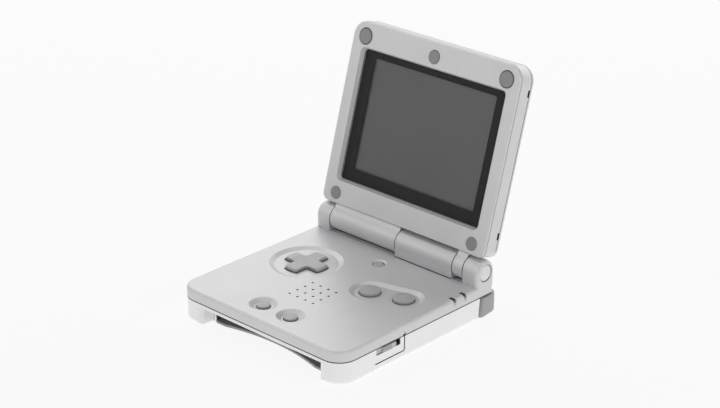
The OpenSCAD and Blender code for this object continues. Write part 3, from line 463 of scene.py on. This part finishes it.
# dark ring of painted shade in the gap round each upper corner pad
PAD_RING_OUTER_R = 3.33
PAD_RING_INNER_R = 2.96
PAD_RING_W = (2.45, 3.32)
pad_low, pad_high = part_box("pad_top_right")
pad = LID.inverted() @ ((pad_low + pad_high) / 2)
rings = []
for x in (-pad.x, pad.x):
    place = LID @ Matrix.Translation((x, pad.y, 0))
    rings.append((circle(PAD_RING_OUTER_R), circle(PAD_RING_INNER_R), *PAD_RING_W, place))
plates("pad_ring_shade", rings, DARK_RUBBER_AND_SHADE, "lid")

# dark strip of painted shade in the groove along the foot of the middle barrel's apron
line = ((0.45, 30.9, 13.1), (28.35, 31.0, 13.72))
block("apron_line_shade", *line, ROW, DARK_RUBBER_AND_SHADE, "base")

# dark rings of painted shade in the gaps between the barrel lengths, with a wide hole where the
# ribbon cable passes
GAP_SHADE_R = 4.85
GAP_SHADE_HALF_T = 0.18
AXLE_HOLE_R = 2.1
CABLE_HOLE_R = 3.3
across = Matrix.Rotation(math.pi / 2, 4, "Y")
rings = []
for x, hole_r in (
    (-33.7, AXLE_HOLE_R),
    (0.2, CABLE_HOLE_R),
    (28.6, AXLE_HOLE_R),
    (33.7, AXLE_HOLE_R),
):
    place = Matrix.Translation(HINGE + Vector((x * MM, 0, 0))) @ across
    rings.append((circle(GAP_SHADE_R), circle(hole_r), -GAP_SHADE_HALF_T, GAP_SHADE_HALF_T, place))
plates("hinge_gap_shade", rings, DARK_RUBBER_AND_SHADE, "base")


# ---------- camera, as fitted to the photograph ----------

AZIMUTH, ELEVATION, ROLL = (math.radians(a) for a in (43.25, 23.62, 0.21))
TARGET = Vector((-0.48, 12.79, 40.59)) * MM
DISTANCE = 727.09 * MM
SENSOR = 36
FOCAL_IN_WIDTHS = 1988.76 / 720
back = Vector(
    (
        math.sin(AZIMUTH) * math.cos(ELEVATION),
        -math.cos(AZIMUTH) * math.cos(ELEVATION),
        math.sin(ELEVATION),
    )
)
right = Vector((math.cos(AZIMUTH), math.sin(AZIMUTH), 0))
up = back.cross(right)
axis_x = math.cos(ROLL) * right + math.sin(ROLL) * up
axis_y = -math.sin(ROLL) * right + math.cos(ROLL) * up
camera_data = bpy.data.cameras.new("camera")
camera_data.sensor_width = SENSOR
camera_data.lens = SENSOR * FOCAL_IN_WIDTHS
camera_data.clip_start = 0.01
camera_data.clip_end = 20
camera = bpy.data.objects.new("camera", camera_data)
camera_turn = Matrix((axis_x, axis_y, back)).transposed().to_4x4()
camera.matrix_world = Matrix.Translation(TARGET + back * DISTANCE) @ camera_turn
scene.collection.objects.link(camera)
scene.camera = camera


# ---------- light, floor and backdrop ----------

WORLD_LIGHT = 0.04
FLOOR_WHITE = 0.86
FLOOR_LIGHT = 1.4  # strength of the floor's glow in diffuse light
FLOOR_GLOW = 0.88  # share of the glow in the floor's look
FLOOR_HALF = 3
LIGHT_AIM = Vector((0, 0, 0.03))


def by_ray(tree, seen, lighting):
    """A strength for what the camera, gloss and glass see, and another for diffuse light."""
    path = tree.nodes.new("ShaderNodeLightPath")
    first = tree.nodes.new("ShaderNodeMath")
    first.operation = "MAXIMUM"
    second = tree.nodes.new("ShaderNodeMath")
    second.operation = "MAXIMUM"
    tree.links.new(path.outputs["Is Camera Ray"], first.inputs[0])
    tree.links.new(path.outputs["Is Glossy Ray"], first.inputs[1])
    tree.links.new(first.outputs[0], second.inputs[0])
    tree.links.new(path.outputs["Is Transmission Ray"], second.inputs[1])
    strength = tree.nodes.new("ShaderNodeMapRange")
    strength.inputs["To Min"].default_value = lighting
    strength.inputs["To Max"].default_value = seen
    tree.links.new(second.outputs[0], strength.inputs["Value"])
    return strength.outputs["Result"]


world = bpy.data.worlds.new("studio")
scene.world = world
world.use_nodes = True
tree = world.node_tree
background = tree.nodes["Background"]
background.inputs["Color"].default_value = (1, 1, 1, 1)
tree.links.new(by_ray(tree, 1.0, WORLD_LIGHT), background.inputs["Strength"])

floor_material = bpy.data.materials.new("floor")
floor_material.use_nodes = True
tree = floor_material.node_tree
base = tree.nodes["Principled BSDF"]
base.inputs["Base Color"].default_value = (FLOOR_WHITE, FLOOR_WHITE, FLOOR_WHITE, 1)
base.inputs["Roughness"].default_value = 0.9
base.inputs["Specular IOR Level"].default_value = 0.1
glow = tree.nodes.new("ShaderNodeEmission")
mix = tree.nodes.new("ShaderNodeMixShader")
mix.inputs["Fac"].default_value = FLOOR_GLOW
tree.links.new(by_ray(tree, 1.0, FLOOR_LIGHT), glow.inputs["Strength"])
tree.links.new(base.outputs["BSDF"], mix.inputs[1])
tree.links.new(glow.outputs["Emission"], mix.inputs[2])
tree.links.new(mix.outputs["Shader"], tree.nodes["Material Output"].inputs["Surface"])

bm = bmesh.new()
bmesh.ops.create_grid(bm, x_segments=4, y_segments=4, size=FLOOR_HALF)
mesh = bpy.data.meshes.new("floor")
bm.to_mesh(mesh)
bm.free()
floor = bpy.data.objects.new("floor", mesh)
mesh.materials.append(floor_material)
scene.collection.objects.link(floor)


def softbox(name, place, size, power):
    """A soft lamp at a place in metres, aimed at the object."""
    light = bpy.data.lights.new(name, "AREA")
    light.shape = "RECTANGLE"
    light.size, light.size_y = size
    light.energy = power
    lamp = bpy.data.objects.new(name, light)
    lamp.location = place
    lamp.rotation_euler = (LIGHT_AIM - Vector(place)).to_track_quat("-Z", "Y").to_euler()
    scene.collection.objects.link(lamp)


softbox("softbox_top", place=(0, 0.05, 1.1), size=(0.9, 0.9), power=2.1)
softbox("softbox_back", place=(0, 1.1, 0.5), size=(1.2, 0.6), power=4.6)
softbox("softbox_back_left", place=(-0.75, 0.55, 0.75), size=(0.8, 0.8), power=4.5)
softbox("softbox_left", place=(-0.8, 0, 0.8), size=(0.7, 0.7), power=1.0)
softbox("softbox_front_left", place=(-0.7, -0.75, 0.7), size=(0.6, 0.6), power=2.1)
softbox("softbox_front", place=(-0.1, -0.95, 0.45), size=(0.8, 0.7), power=1.4)
softbox("softbox_right", place=(0.95, 0, 0.4), size=(0.8, 0.7), power=3.0)
